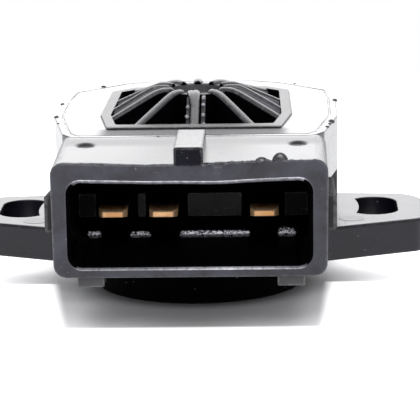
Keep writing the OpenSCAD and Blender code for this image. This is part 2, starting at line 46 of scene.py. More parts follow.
def unit(v):
    """Vectors divided by their lengths."""
    return v / np.linalg.norm(v, axis=-1, keepdims=True)


def both_sides(half):
    """The right half of an outline, front to rear, followed by its mirror image, rear to front."""
    half = np.array(half, float)
    return np.concatenate([half, half[::-1] * [-1, 1]])


def inset(corners, d):
    """Every side moved inwards by d: each corner goes d along the sum of its two inward
    normals, divided by one plus their dot product."""
    along = unit(np.roll(corners, -1, 0) - corners)
    after = np.stack([-along[:, 1], along[:, 0]], -1)
    before = np.roll(after, 1, 0)
    return corners + d * (after + before) / (1 + (after * before).sum(-1, keepdims=True))


def soften(path, radii, steps=5, closed=False):
    """A path whose corners are arcs. The arc's centre lies on the corner's bisector at
    radius / sin(half angle), and it starts radius / tan(half angle) from the corner. Two
    points stand before and after each arc, so that what is flat stays flat."""
    path = np.array(path, float)
    radii = np.broadcast_to(radii, len(path))
    ahead, behind = unit(np.roll(path, -1, 0) - path), unit(np.roll(path, 1, 0) - path)
    half = np.arccos(np.clip((ahead * behind).sum(-1), -1, 1)) / 2
    out = []
    for p, a, b, h, r, k in zip(path, ahead, behind, half, radii, range(len(path))):
        if (not closed and k in (0, len(path) - 1)) or r <= 0 or h > 1.56:
            out.append(p[None])
            continue
        centre = p + unit(a + b) * r / np.sin(h)
        from_b, from_a = p + b * r / np.tan(h) - centre, p + a * r / np.tan(h) - centre
        sweep = (np.pi - 2 * h) * np.linspace(0, 1, steps + 1)[:, None]
        side = unit(from_a - from_b * (from_a @ from_b) / (r * r))
        arc = centre + from_b * np.cos(sweep) + side * r * np.sin(sweep)
        out += [arc[0] + b * [[0.08], [0.03]], arc, arc[-1] + a * [[0.03], [0.08]]]
    return np.concatenate(out)


# The directions round the rotor axis in which the rings have their points.
AROUND = np.linspace(-np.pi, np.pi, 900, endpoint=False)


def reach(outline, centre=(0, 0), around=AROUND):
    """How far a closed outline lies from a centre in each direction. Its straight sides are
    first cut into short pieces, between which the distance is interpolated by angle."""
    steps = np.linspace(0, 1, 60)[:-1, None]
    fine = outline[:, None] + (np.roll(outline, -1, 0) - outline)[:, None] * steps
    v = fine.reshape(-1, 2) - centre
    angle = np.arctan2(v[:, 1], v[:, 0])
    order = np.argsort(angle)
    return np.interp(around, angle[order], np.hypot(*v.T)[order], period=2 * np.pi)


def ring_rows(reaches, heights):
    """One row of points round the axis for each reach and height."""
    reaches = np.stack([np.broadcast_to(r, AROUND.shape) for r in reaches])
    return np.stack([reaches * np.cos(AROUND), reaches * np.sin(AROUND),
                     np.broadcast_to(np.array(heights)[:, None], reaches.shape)], -1)


def write(mesh, name, values):
    """One number for each point of a mesh, which a material reads by its name."""
    mesh.attributes.new(name, "FLOAT", "POINT").data.foreach_set("value", np.ravel(values))


def skin(name, rows, ends="caps", replaces=None, second=None):
    """A closed surface from rows of points, each row a closed loop, in millimetres. A fourth
    dimension in front holds several such parts. ends is caps for a flat face on the first and
    last row, or join to carry the last row round to the first. Faces are turned outwards by
    the sign of the enclosed volume. The attribute edge is how far the normals open out from
    one point to the next, which marks convex edges. It is 0 along a capped end's corners.
    second gives each quad's material number and spreads over parts, rows and points. A flat
    end has the number of the first or of the last quad."""
    rows = np.asarray(rows, float)
    if rows.ndim == 3:
        rows = rows[None]
    parts, count, loop = rows.shape[:3]
    number = np.arange(parts * count * loop).reshape(parts, count, loop)
    nxt = np.roll(number, -1, 1) if ends == "join" else number[:, 1:]
    low = number if ends == "join" else number[:, :-1]
    quads = np.stack([low, np.roll(low, -1, 2), np.roll(nxt, -1, 2), nxt], -1).reshape(-1, 4)
    points = rows.reshape(-1, 3)
    a, b, c, d = points[quads].transpose(1, 0, 2)
    volume = (np.cross(a, b) * c + np.cross(a, c) * d).sum()
    if ends == "caps":
        for row, sign in ((rows[:, 0], -1), (rows[:, -1], 1)):
            fan = np.cross(row - row[:, :1], np.roll(row, -1, 1) - row[:, :1]) * row[:, :1]
            volume += sign * fan.sum()
    faces = quads.tolist()
    if ends == "caps":
        faces += number[:, 0, ::-1].tolist() + number[:, -1].tolist()
    if volume < 0:
        faces = [f[::-1] for f in faces]
    mesh = bpy.data.meshes.new(name)
    mesh.from_pydata(points / 1000, [], faces)
    mesh.polygons.foreach_set("use_smooth", np.arange(len(faces)) < len(quads))
    normals = np.zeros(len(points) * 3)
    mesh.vertices.foreach_get("normal", normals)
    normals = normals.reshape(rows.shape)
    opening = 0
    for axis in (1, 2):
        dn = np.roll(normals, -1, axis) - np.roll(normals, 1, axis)
        dp = np.roll(rows, -1, axis) - np.roll(rows, 1, axis)
        if ends == "caps" and axis == 1:
            dn[:, [0, -1]] = 0
        opening = opening + (dn * dp).sum(-1) / (np.linalg.norm(dp, axis=-1) + 1e-3)
    write(mesh, "edge", np.clip(opening, 0, 1))
    if second is not None:
        number_of = np.broadcast_to(second, number.shape)[:, :low.shape[1]].ravel()
        number_of = np.concatenate([number_of, np.repeat(number_of[[0, -1]], parts)])
        mesh.polygons.foreach_set("material_index", number_of[:len(faces)])
    mesh.update()
    piece = bpy.data.objects.new(name, mesh)
    bpy.context.scene.collection.objects.link(piece)
    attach(piece, "case")
    if replaces:
        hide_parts(replaces)
    return piece


def dress(piece, *materials):
    """Gives a piece its materials, in the order of their numbers."""
    for material in materials:
        piece.data.materials.append(material)


class Shade:
    """A shader value. Arithmetic with numbers or other Shades adds Math nodes."""

    def __init__(self, tree, socket=None):
        self.tree, self.socket = tree, socket

    def node(self, kind, settings=(), sockets=(), out=0):
        """Adds a node: its settings first, a ramp's stops among them, then its sockets."""
        n = self.tree.nodes.new(kind)
        for key, value in dict(settings).items():
            if key == "stops":
                while len(n.color_ramp.elements) < len(value):
                    n.color_ramp.elements.new(0.5)
                for stop, (at, colour) in zip(n.color_ramp.elements, value):
                    stop.position, stop.color = at, (*colour, 1)
            else:
                setattr(n, key, value)
        for key, value in dict(sockets).items():
            if isinstance(value, Shade):
                self.tree.links.new(value.socket, n.inputs[key])
            else:
                n.inputs[key].default_value = value
        return Shade(self.tree, n.outputs[out])

    def maths(self, operation, *values):
        """A Math node on these values."""
        return self.node("ShaderNodeMath", {"operation": operation}, dict(enumerate(values)))

    def __add__(self, other):
        return self.maths("ADD", self, other)

    def __sub__(self, other):
        return self.maths("SUBTRACT", self, other)

    def __rsub__(self, other):
        return self.maths("SUBTRACT", other, self)

    def __mul__(self, other):
        return self.maths("MULTIPLY", self, other)

    def __pow__(self, other):
        return self.maths("POWER", self, other)

    __radd__, __rmul__ = __add__, __mul__

    def between(self, low, high):
        """0 below low, 1 above high, smooth in between."""
        return self.node("ShaderNodeMapRange", {"interpolation_type": "SMOOTHSTEP"},
                         {"Value": self, "From Min": low, "From Max": high})

    def mixed(self, first, second):
        """The first colour where this is 0 and the second where it is 1."""
        return self.node("ShaderNodeMix", {"data_type": "RGBA"},
                         {"Factor": self, "A": (*first, 1) if isinstance(first, tuple) else first,
                          "B": (*second, 1) if isinstance(second, tuple) else second}, "Result")

    def noise(self, where, scale, detail=3.0, roughness=0.55):
        """Noise from 0 to 1 at the coordinates given, with scale cells to the metre."""
        return self.node("ShaderNodeTexNoise", {}, {"Vector": where, "Scale": scale, "Detail": detail,
                                                    "Roughness": roughness})

    def place(self, turn=(0, 0, 0), stretch=(1, 1, 1)):
        """Object coordinates, turned and stretched."""
        where = self.node("ShaderNodeTexCoord", out="Object")
        return self.node("ShaderNodeMapping", {}, {"Vector": where, "Rotation": turn, "Scale": stretch})


def finish(name, **constants):
    """A material's Shade and its surface shader, with the shader's constant sockets set."""
    material = bpy.data.materials.new(name)
    material.use_nodes = True
    surface = material.node_tree.nodes["Principled BSDF"]
    for key, value in constants.items():
        surface.inputs[key.replace("_", " ")].default_value = value
    return material, Shade(material.node_tree), surface


def connect(shade, surface, **values):
    """Links Shades to the surface shader's sockets of those names."""
    for key, value in values.items():
        shade.tree.links.new(value.socket, surface.inputs[key.replace("_", " ")])


def moulding(name, tone, gloss, grain, wear=0.35, scratches=0.5, sheen=0.62, drift=0.4, blue=1.0):
    """Black plastic of a grey tone. gloss is the roughness of its clean surface, and sheen how
    much it mirrors. Its colour drifts with slow noise, edges are paler where the attribute
    edge is high, thin scratches are the crests of noise stretched along two directions, dust
    is the peaks of a fine noise, and the grain and a slow wave lift the surface. A lip
    highlight attribute paints a white highlight along a cut edge, and the attribute haze
    dulls the gloss, on the pieces that have them."""
    worn_grey, highlight_white, dust_grey = (0.30, 0.30, 0.31), (0.80, 0.80, 0.85), (0.45, 0.45, 0.46)
    material, s, surface = finish(name, IOR=1.5, Specular_IOR_Level=sheen)
    at = s.place()
    slow = s.noise(at, 260, 5, 0.68)
    fine = s.noise(at, 5200, 2)
    edge = s.node("ShaderNodeAttribute", {"attribute_name": "edge"}, out="Fac")
    lip = s.node("ShaderNodeAttribute", {"attribute_name": "lip"}, out="Fac")
    haze = s.node("ShaderNodeAttribute", {"attribute_name": "haze"}, out="Fac")
    patchy = s.noise(at, 1900, 5, 0.65).between(0.3, 0.7)
    worn = edge.between(0.1, 0.7) * patchy
    lines = 0
    for turn, stretch in (((0.3, 0.2, 0.5), (9000, 320, 9000)), ((0.9, 1.2, -0.6), (420, 11000, 11000))):
        crest = s.noise(s.place(turn, stretch), 1.0, 1).between(0.70, 0.745)
        lines = crest * s.noise(s.place(turn), 330, 1).between(0.5, 0.62) + lines
    dust = s.noise(at, 1900, 1).between(0.735, 0.79)
    dark, pale = [(level, level, 1.05 * level * blue) for level in (tone * (1 - drift), tone * (1 + drift))]
    colour = slow.between(0.3, 0.7).mixed(dark, pale)
    colour = (worn * wear).mixed(colour, worn_grey)
    colour = (lip * (patchy * 0.6 + 0.3)).mixed(colour, highlight_white)
    colour = (lines * (0.10 * scratches) + dust * 0.18).mixed(colour, dust_grey)
    rough = gloss + haze * 0.35 + slow * 0.06 + fine * 0.05 + worn * 0.15 + lines * 0.18 + dust * 0.2
    lift = fine * grain + slow * 0.25 - lines * (0.25 * scratches)
    normal = s.node("ShaderNodeBump", {}, {"Strength": 0.35, "Distance": 0.00006, "Height": lift})
    connect(s, surface, Base_Color=colour, Roughness=rough, Normal=normal)
    return material


# The heights of the rim and of the matt part of the wall above the seat face, the thickness
# of the tub's floor and wall, and the radius of the hole in the floor.
RIM, MATT_TOP = 13.95, 8.3
FLOOR_T, WALL_T, HOLE_R = 0.8, 1.6, 10.6
CASE = both_sides([(12.1, -15.6), (13.2, -13.6), (14.7, -4.2), (14.7, 6.0), (14.2, 12.0),
                   (9.1, 17.6), (5.9, 19.2)])


def case_reach(d):
    """The reach of the case's outline, moved inwards by d."""
    return reach(soften(inset(CASE, d), max(0.9 - d, 0.4), 8, True))


# The wall's profile, from the cover's seat over the rim and down to the foot: how far each
# point lies inside the outline, and how high. The rows go on under the floor to its hole,
# and from there over the floor and up the inside of the wall.
wall = soften([(0.69, RIM - 0.5), (0.69, RIM), (0, RIM), (0.02, 12.7), (0.02, 12.6), (0.05, MATT_TOP + 0.02),
               (0.07, MATT_TOP - 0.02), (0.12, 2.75), (0.12, 2.65), (0.16, 0), (WALL_T, 0)],
              [0, 0.03, 0.14, 0, 0, 0, 0, 0, 0, 0.35, 0])
wall = np.concatenate([wall[:-1], [[WALL_T, 0]]])
heights = np.concatenate([wall[:, 1], [0, 0, FLOOR_T, FLOOR_T, 12.0]])
inner_wall = case_reach(WALL_T)
reaches = [case_reach(d) for d in wall[:, 0]] + [HOLE_R + 0.06, HOLE_R, HOLE_R, inner_wall, inner_wall]
case = ring_rows(reaches, heights)

# Inside the plug socket the wall steps back behind the socket's own back wall.
x, y, z = case[..., 0], case[..., 1], case[..., 2]
in_socket = (z < 12.65) & (z > 2.7) & (np.abs(x) < 12.35)
case[..., 1] = np.where(in_socket, np.maximum(y, -13.2), y)
matt = ((heights < MATT_TOP) & (heights > 0.1)).astype(int)[:, None]
case_piece = skin("case_tub", case, "join", replaces="housing", second=matt)
black_case = moulding("black_case_plastic", 0.012, 0.16, 0.25, wear=0.15, sheen=0.78)
matt_wall = moulding("matt_wall_plastic", 0.028, 0.6, 0.4, wear=0.1, sheen=0.02, drift=0.12)
dress(case_piece, black_case, matt_wall)

# No pale edge where the socket covers the wall.
edge = case_piece.data.attributes["edge"].data
opening = np.zeros(z.size)
edge.foreach_get("value", opening)
covered = (y < -12.6) & (z < 12.9)
edge.foreach_set("value", np.where(covered.ravel(), 0, opening))


# Cover
# A separate plate of the same black plastic, bonded into the rim. It has a low octagonal
# frame round a sunken field, from which the ribs rise. It came from a polished mould and is
# glossy, but for a duller strip in front of the frame.

FRAME = both_sides([(8.85, -11.6), (9.95, -3.8), (9.65, 11.0), (7.25, 13.6)])
OPENING = inset(both_sides([(8.99, -10.75), (9.95, -3.8), (9.65, 11.0), (7.25, 13.6)]), 1.1)
FRAME_TOP, FIELD = RIM + 0.2, RIM - 1.75
BORDER = 1.6


def frame_reach(d, outline=FRAME):
    """The reach of the frame's outline or of its opening's, moved inwards by d."""
    return reach(soften(inset(outline, d), 0.4, 6, True))


# The plate's edge and border lie inside the case's outline, the frame's bar inside its own,
# and the sunken field inside the opening. Rows between the border and the bar lie level.
plate = soften([(0.92, 12.6), (0.92, RIM), (BORDER, RIM)], [0, 0.035, 0])
plate_rows = [case_reach(BORDER) * (1 - f) + frame_reach(-0.5) * f for f in (0.2, 0.4, 0.6, 0.8)]
bar = soften([(-0.5, RIM), (0, RIM), (0.03, FRAME_TOP), (0.5, FRAME_TOP)], [0, 0.05, 0.09, 0])
sunken = soften([(-0.5, FRAME_TOP), (0, FRAME_TOP), (0.15, FIELD), (1.2, FIELD)], [0, 0.10, 0.2, 0])
reaches = ([case_reach(d) for d in plate[:, 0]] + plate_rows + [frame_reach(d) for d in bar[:, 0]]
           + [frame_reach(d, OPENING) for d in sunken[:, 0]] + [3.6])
heights = np.concatenate([plate[:, 1], [RIM] * len(plate_rows), bar[:, 1], sunken[:, 1], [FIELD]])
cover = ring_rows(reaches, heights)
row = np.arange(len(cover))[:, None]
frame_row = len(plate) + len(plate_rows) + 2
field_row = frame_row + len(bar) + 3
cover_piece = skin("cover_plate", cover, replaces="cover",
                   second=np.where(row < frame_row, 0, np.where(row < field_row, 1, 2)))


def below(value, limit, sharpness):
    """1 below a limit and 0 above it, with a smooth turn: one divided by one plus e to the
    power of the sharpness times the distance past the limit."""
    return 1 / (1 + np.exp((value - limit) * sharpness))


write(cover_piece.data, "haze", below(cover[..., 1], -11.3, 6) * below(np.abs(cover[..., 0]), 9.2, 4))
black_cover = moulding("black_cover_plastic", 0.020, 0.19, 0.2, wear=0.2, scratches=0.3)
black_frame = moulding("black_frame_plastic", 0.005, 0.35, 0.25, wear=0.4, scratches=0.2)
# Painted shade: the opening's wall, the sunken field, the ribs' walls and the hub's outer wall get a
# near-black plastic that hardly mirrors, darker than the plate.
pocket_painted_shade, s, surface = finish("black_pocket_plastic", IOR=1.08, Roughness=0.5)
mottle = s.noise(s.place(), 900).between(0.3, 0.7)
connect(s, surface, Base_Color=mottle.mixed((0.0008, 0.0008, 0.001), (0.002, 0.002, 0.0028)))
dress(cover_piece, black_cover, black_frame, pocket_painted_shade)


# Ribs and hub of the cover
# Twelve drafted ribs stiffen the upper bearing. They leave the frame level with its top,
# climb to the crown and stop round an open well, just above the ring that ties them. They
# are rougher than the plate. Their walls are painted shade, near black, and the upper walls
# of those that point sideways are painted light, a pale grey.

# The heights of the ribs' crown, of the ring that ties them and of the well's floor, the
# radius of the well, and the radius as far as which the ribs' tops are level.
CROWN, TIE_TOP, WELL_FLOOR = RIM + 2.7, RIM + 2.25, RIM + 1.35
WELL, LEVEL_R = 2.9, 4.6

# The two ribs beside the front one stand 1.5 degrees further from it than the rest do.
RIB_ANGLES = np.radians(-90 + 30 * np.arange(12) + 1.5 * np.eye(12)[1] - 1.5 * np.eye(12)[11])

# A rib's section in fractions of half its width and of its height: the points of one wall,
# the directions of the points on the round top, and the height of every point.
WALL_OUT = np.array([1.22, 1.12, 1.07, 1.03, 1.005])
WALL_UP = np.array([0, 0.55, 0.78, 0.9, 0.97])
OVER = np.linspace(0, np.pi, 13)
SECTION_UP = np.concatenate([WALL_UP, np.ones(len(OVER)), WALL_UP[::-1]])


def rib_bars(angles, start, stop, width, drop, shift=0.0, length=1.0):
    """Bars along radii. Along a bar the top is level as far as LEVEL_R and then falls in a
    straight line to the frame, with a smooth turn between the two: half the sum of the fall
    and the root of its square plus a little. The inner end is narrower and lower by the
    radius of its rounding. Across a bar the section is a drafted wall with a half-round top.
    One array: bar, station, section point."""
    u = np.concatenate([[0, 0.02, 0.06], np.linspace(0.1, 1, 40)]) * length
    s = start + (stop[:, None] - start) * u
    fall = (s - LEVEL_R) / (stop[:, None] - 0.3 - LEVEL_R)
    smooth = 0.5 * (fall + np.sqrt(fall ** 2 + 0.012))
    top = CROWN - (CROWN - FRAME_TOP + 0.03) * np.minimum(smooth, 1.02) - drop
    shrink = np.interp(u / length, [0, 0.02, 0.06, 0.1], [0.12, 0.054, 0.03, 0])
    top = top - shrink[None] * 1.2
    across = np.concatenate([WALL_OUT, np.cos(OVER), -WALL_OUT[::-1]])
    rise = np.pad(np.sin(OVER), len(WALL_UP))
    half = width / 2 - shrink
    floor = FIELD - 0.3
    shoulder = top - half * 0.8
    z = floor + (shoulder - floor)[..., None] * SECTION_UP + (half * 0.8)[None, :, None] * rise
    t = half[None, :, None] * across + shift + 0 * z
    s = s[..., None] + 0 * z
    a = np.asarray(angles)[:, None, None]
    return np.stack([s * np.cos(a) - t * np.sin(a), s * np.sin(a) + t * np.cos(a), z], -1)


lengths = np.interp(RIB_ANGLES, AROUND, frame_reach(0.1, OPENING), period=2 * np.pi) + 0.5
# Material numbers across a rib: its top, its walls in painted shade, and the upper walls of the ribs that
# point sideways in painted light.
walls = np.repeat([1, 0, 1], [len(WALL_UP), len(OVER) - 1, len(WALL_UP) + 1])
sideways = (np.abs(np.cos(RIB_ANGLES)) > 0.4) & (np.sin(RIB_ANGLES) > -0.2)
upper = np.minimum(SECTION_UP, np.roll(SECTION_UP, -1)) > 0.7
painted_wall_numbers = walls * (1 + (sideways[:, None] & upper))
ribs = skin("cover_ribs", rib_bars(RIB_ANGLES, WELL, lengths, 0.92, 0), second=painted_wall_numbers[:, None])

# The front rib has a thin web on each side and a gusset on its left.
front = RIB_ANGLES[:1]
webs = np.concatenate([rib_bars(front, 3.4, lengths[:1], width, drop, shift)
                       for width, drop, shift in ((0.44, 0.40, 0.84), (0.42, 0.55, -0.70))])
webs_piece = skin("front_rib_webs", webs, second=walls)
gusset_bar = rib_bars(front + 0.15, WELL, lengths[:1], 0.8, 0.04, -1.02, 0.55)
gusset = skin("front_rib_gusset", gusset_bar, second=walls)


def spin(profile):
    """Rows of a profile of radius and height carried round the rotor axis."""
    profile = np.asarray(profile)
    return ring_rows(profile[:, 0], profile[:, 1])


ring = spin(soften([(3.9, FIELD - 0.3), (3.8, TIE_TOP), (WELL, TIE_TOP), (WELL - 0.05, WELL_FLOOR),
                    (0.5, WELL_FLOOR)], [0, 0.04, 0.12, 0.15, 0]))
# The ring's outer wall gets the painted shade; its top and the well are grey plastic.
outer_wall = (np.arange(len(ring)) < 4).astype(int)[:, None]
hub = skin("cover_hub", ring, second=outer_wall)

# A ball of radius 1: rings of points between its poles, at each turn and tip from the top.
turn, tip = np.meshgrid(np.linspace(0, 2 * np.pi, 16, endpoint=False), np.linspace(0.06, np.pi - 0.06, 9))
ball = np.stack([np.sin(tip) * np.cos(turn), np.sin(tip) * np.sin(turn), np.cos(tip)], -1)

# Pips of flash on the webs, each at a distance to the side and in front of the axis. Their pale colour is a
# painted glint.
aside, before = np.array([(-0.80, 7.9), (-0.84, 9.4), (-0.76, 6.4), (0.86, 5.2), (0.84, 6.3), (0.88, 7.9),
                          (0.95, 9.4)]).T
rib_top = CROWN - (before - LEVEL_R).clip(0) * (CROWN - FRAME_TOP) / 5.2
pip_at = np.stack([aside, -before, rib_top - np.where(aside < 0, 0.5, 0.35)], -1)
pips = skin("rib_foot_pips", pip_at[:, None, None] + ball * 0.22)

rib_plastic = moulding("black_rib_plastic", 0.006, 0.29, 0.2, wear=0.25, scratches=0.2)
web_plastic = moulding("dark_web_plastic", 0.010, 0.45, 0.6, wear=0.3, scratches=0.2, sheen=0.16)
rib_wall_painted_light = moulding("dusty_rib_plastic", 0.18, 0.5, 0.5, wear=0.2, scratches=0.4, sheen=0.4, blue=1.05)
hub_plastic = moulding("grey_hub_plastic", 0.075, 0.5, 0.4, wear=0.1, scratches=0.3, sheen=0.2)
dress(ribs, rib_plastic, pocket_painted_shade, rib_wall_painted_light)
dress(gusset, rib_plastic, pocket_painted_shade)
dress(webs_piece, web_plastic, pocket_painted_shade)
dress(hub, hub_plastic, pocket_painted_shade)
# A painted highlight: the pips are pale grey, as glints.
pip_glint, s, surface = finish("pale_flash", Roughness=0.3)
mottle = s.noise(s.place(), 3000).between(0.3, 0.7)
connect(s, surface, Base_Color=mottle.mixed((0.10, 0.10, 0.12), (0.45, 0.45, 0.48)))
dress(pips, pip_glint)


# Bond line of the cover
# Black adhesive fills the joint between the plate and the rim. It is a narrow bead that
# swells and sinks a little, with crumbs of flash where it was trimmed.

def wander(x, seed, waves=9):
    """A smooth irregular curve between about -1 and 1, which repeats after 1: sines with
    growing frequency, shrinking height and phases from a seeded generator."""
    g = np.random.default_rng(seed)
    k = np.arange(1, waves + 1)[:, None]
    phase = g.uniform(0, 6.28, (waves, 1))
    height = g.normal(1, 0.4, (waves, 1))
    y = np.sin(np.ravel(x) * 2 * np.pi * k + phase) * height / k ** 0.7
    return (y.sum(0) / np.sqrt((1 / k ** 1.4).sum()) / 1.2).reshape(np.shape(x))


turns = AROUND / (2 * np.pi)
inner, outer = case_reach(0.96), case_reach(0.66)
lift = 0.015 * wander(turns * 14, 3)
bead = np.stack([
    np.stack([r * np.cos(AROUND), r * np.sin(AROUND), z + 0 * AROUND], -1)
    for r, z in ((inner, 13.0), (inner, RIM - 0.05 + lift), ((inner + outer) / 2, RIM - 0.02 + lift),
                 (outer, RIM - 0.05 + lift), (outer, 13.0))])
bond = skin("cover_bond_line", bead, "join", replaces="cover_seal")
crumb_at = np.array([(-11.5, 16.3), (-14.65, 4.34), (-14.74, -3.66), (14.39, 5.0), (14.06, -7.8), (13.6, -11),
                     (13.8, -9.2), (10.4, 16.2), (-14.1, -7.5), (-3.4, -15.4)])
crumb_size = np.array([1.5, 1.2, 1.4, 1.4, 1.7, 1.1, 1, 0.9, 0.8, 0.8])[:, None, None, None] * 0.16
direction = np.arctan2(crumb_at[:, 1], crumb_at[:, 0])
radius = np.interp(direction, AROUND, case_reach(0.12), period=2 * np.pi)
centres = np.stack([radius * np.cos(direction), radius * np.sin(direction), 0 * radius + RIM - 0.05], -1)
crumbs = skin("bond_crumbs", centres[:, None, None] + ball * crumb_size * [1.3, 1.3, 0.9])
adhesive, s, surface = finish("black_adhesive", Specular_IOR_Level=0.6)
mottle = s.noise(s.place(), 2200, 3).between(0.3, 0.7)
connect(s, surface, Base_Color=mottle.mixed((0.010, 0.010, 0.011), (0.035, 0.035, 0.036)),
        Roughness=mottle * 0.25 + 0.14)
dress(bond, adhesive)
dress(crumbs, adhesive)


# Plug socket
# Part of the case moulding. Its top wall sank at the open end as it cooled, two core pins
# left dimples on it, and the front edge is ragged with flash. Inside, a shelf with a
# chamber round each terminal stands before the back wall, along whose foot a highlight is painted.

# The front edge and the back wall in Y, and the height of the middle of the mouth.
FRONT, BACK, MIDDLE = -26.9, -14.5, 7.4


def socket_ring(half_top, half_low, z0, z1, radius):
    """A rounded four-sided outline in X and Z, with many points along its top and bottom."""
    corners = np.array([(half_low, z0), (half_top, z1), (-half_top, z1), (-half_low, z0)], float)
    arcs = soften(corners, radius, 7, True).reshape(4, -1, 2)
    out = []
    for k, n in enumerate((12, 200, 12, 200)):
        start, stop = arcs[k][-1], arcs[(k + 1) % 4][0]
        out += [arcs[k], start + (stop - start) * np.linspace(0, 1, n + 2)[1:-1, None]]
    return np.concatenate(out)


def socket_rows(ring, path):
    """The ring moved inwards by path's first value, at the depth of its second."""
    normal = unit(np.roll(ring, -1, 0) - np.roll(ring, 1, 0))
    normal = np.stack([-normal[:, 1], normal[:, 0]], -1)
    path = np.asarray(path)
    flat = ring[None] + normal[None] * path[:, :1, None]
    return np.stack([flat[..., 0], np.broadcast_to(path[:, 1:2], flat.shape[:2]), flat[..., 1]], -1)


outside = socket_ring(13.4, 13.25, 2.15, 13.65, 1.3)
mouth = socket_ring(11.97, 11.92, 2.95, 11.95, 1.5)

# Along Y the outside has many rows, and the cavity's walls draw in a little.
skin_path = soften([(0, -13), (0, FRONT), (0.9, FRONT)], [0, 0.2, 0])
between = np.stack([np.zeros(70), np.linspace(-15.2, -26.4, 70)], -1)
outer_rows = socket_rows(outside, np.concatenate([skin_path[:1], between, skin_path[1:-1]]))
cavity_path = soften([(-0.2, FRONT), (0, FRONT), (0.2, FRONT + 0.2), (0.4, FRONT + 0.4), (0.5, BACK),
                      (1.1, BACK)], [0, 0.1, 0, 0.12, 0.55, 0])
inner_rows = socket_rows(mouth, cavity_path)
towards_middle = np.array([0.02, 0.05, 0.1, 0.25, 0.6])[:, None, None]
back_wall = inner_rows[-1] + (np.array([0, BACK, MIDDLE]) - inner_rows[-1]) * towards_middle
shell = np.concatenate([outer_rows, inner_rows, back_wall])
x, y, z = shell[..., 0], shell[..., 1], shell[..., 2]
edge_row = len(outer_rows)

# The top wall sinks towards the front, by a depth that changes across it, and its inside
# sinks deeper near the third terminal.
sink = np.interp(x, [-13.5, -12, -8, -4, 0, 2.5, 5, 8, 11, 13.5],
                 [0.05, 0.11, 0.25, 0.40, 0.33, 0.25, 0.14, 0.10, 0.04, -0.08])
forward = np.clip((-15.8 - y) / 11, 0, 1) ** 1.6
shell[..., 2] -= sink * forward * np.clip((z - 8) / 5, 0, 1)
deeper = 0.17 * np.exp(-((x - 3.4) / 3.6) ** 2) * np.clip((z - 8) / 3, 0, 1)
shell[edge_row:, :, 2] -= deeper[edge_row:]

# Two dimples, and a smooth rise of the top towards the case.
for side in (-1, 1):
    gap = np.hypot(x - side * 10.5, y + 18.6)
    shell[..., 2] -= np.where(z > 13, 0.3 * below(gap, 0.85, 16), 0)
ramp = np.clip((y + 19.2) / 3.6, 0, 1)
shell[..., 2] += 0.27 * ramp * ramp * (3 - 2 * ramp) * np.clip((z - 13) / 0.5, 0, 1)

# The top's front edge is ragged, and most of all on its right half.
torn = np.zeros(len(shell))
torn[edge_row - 10:edge_row] = 0.2, 0.6, 1, 1, 1, 1, 0.8, 0.5, 0.2, 0
torn = torn[:, None] * (z > 12.9) * (0.055 + 0.07 * below(np.abs(x - 6.5), 5.5, 3))
shell[..., 2] += torn * wander(x / 27, 11, 60)
shell[..., 1] += torn * wander(x / 27, 12, 60) * 0.6

# The outside is polished behind the edge. Inside the mouth a painted shade begins, a near-black
# that hardly mirrors, further in along the top of the mouth than at its sides and bottom.
row = np.arange(len(shell))[:, None] - edge_row
above = mouth[:, 1] - MIDDLE
painted_shade_rows = (row >= 17) | (row >= 9) & (np.abs(above) < 4.3) | (row >= 11) & (above < 0)
socket_piece = skin("plug_socket", shell, second=np.where(painted_shade_rows, 1, np.where(row < -11, 2, 0)))

# A painted highlight on the mouth's cut edge: strong along its top, and in the middle of its bottom.
highlight_strength = np.where(above > -0.4, 1.25, 0.5 + 0.8 * np.exp(-((mouth[:, 0] - 3.5) / 4.5) ** 2))
highlight_strength = highlight_strength * np.interp(np.abs(above), [3.5, 4.2, 4.44], [0.03, 0.12, 1])
lip = np.zeros(shell.shape[:2])
lip[edge_row + 3:edge_row + 13] = highlight_strength * np.array([0.5, 1, 1, 1, 1, 1, 0.6, 0.5, 0.35, 0.2])[:, None]
write(socket_piece.data, "lip", lip)

# A painted highlight at the foot of the back wall, white and metallic: patches with a place,
# a half width and a height, and a small cross. It breaks off where the blades stand in front of it.
z = z - 3.62
at_foot = np.exp(-((y + 14.6) / 0.3) ** 2) * (np.abs(x) < 11.4)
patches = ((-10.1, 0.6, 0.42), (-5.43, 0.95, 0.38), (2.08, 3.45, 0.42), (9.34, 0.8, 0.65))
scuff = sum(np.exp(-(z / high) ** 2) * below(np.abs(x - at), half, 9) for at, half, high in patches)
cross = sum(np.exp(-((x + 10.2 + lean * z) / 0.16) ** 2 - (z / 0.4) ** 4) for lean in (-1, 1))
write(socket_piece.data, "scuff", at_foot * (scuff + cross))

black_socket = moulding("black_socket_plastic", 0.018, 0.25, 0.5, wear=0.2, scratches=1.2, sheen=0.45,
                        drift=0.7, blue=1.4)
polished_socket = moulding("polished_socket_plastic", 0.018, 0.25, 0.3, wear=0.2, scratches=1.2, sheen=0.70,
                           drift=0.5)
# Painted shade inside the socket: near black and hardly mirroring, with the painted highlight at the back
# wall's foot in white metal.
socket_lining, s, surface = finish("socket_lining", IOR=1.04, Specular_IOR_Level=0.5)
painted_streak_amount = s.node("ShaderNodeAttribute", {"attribute_name": "scuff"}, out="Fac")
painted_streak_amount = painted_streak_amount.between(0.05, 1.0) * s.noise(s.place(stretch=(1, 1, 1.3)), 3300, 3, 0.8).between(0.43, 0.56)
painted_streak_amount = painted_streak_amount.between(0.03, 0.28)
colour = painted_streak_amount.mixed((0.0010, 0.0010, 0.0014), (0.95, 0.95, 1.0))
connect(s, surface, Base_Color=colour, Roughness=0.35 + s.noise(s.place(), 1800) * 0.2, Metallic=painted_streak_amount)
dress(socket_piece, black_socket, socket_lining, polished_socket)


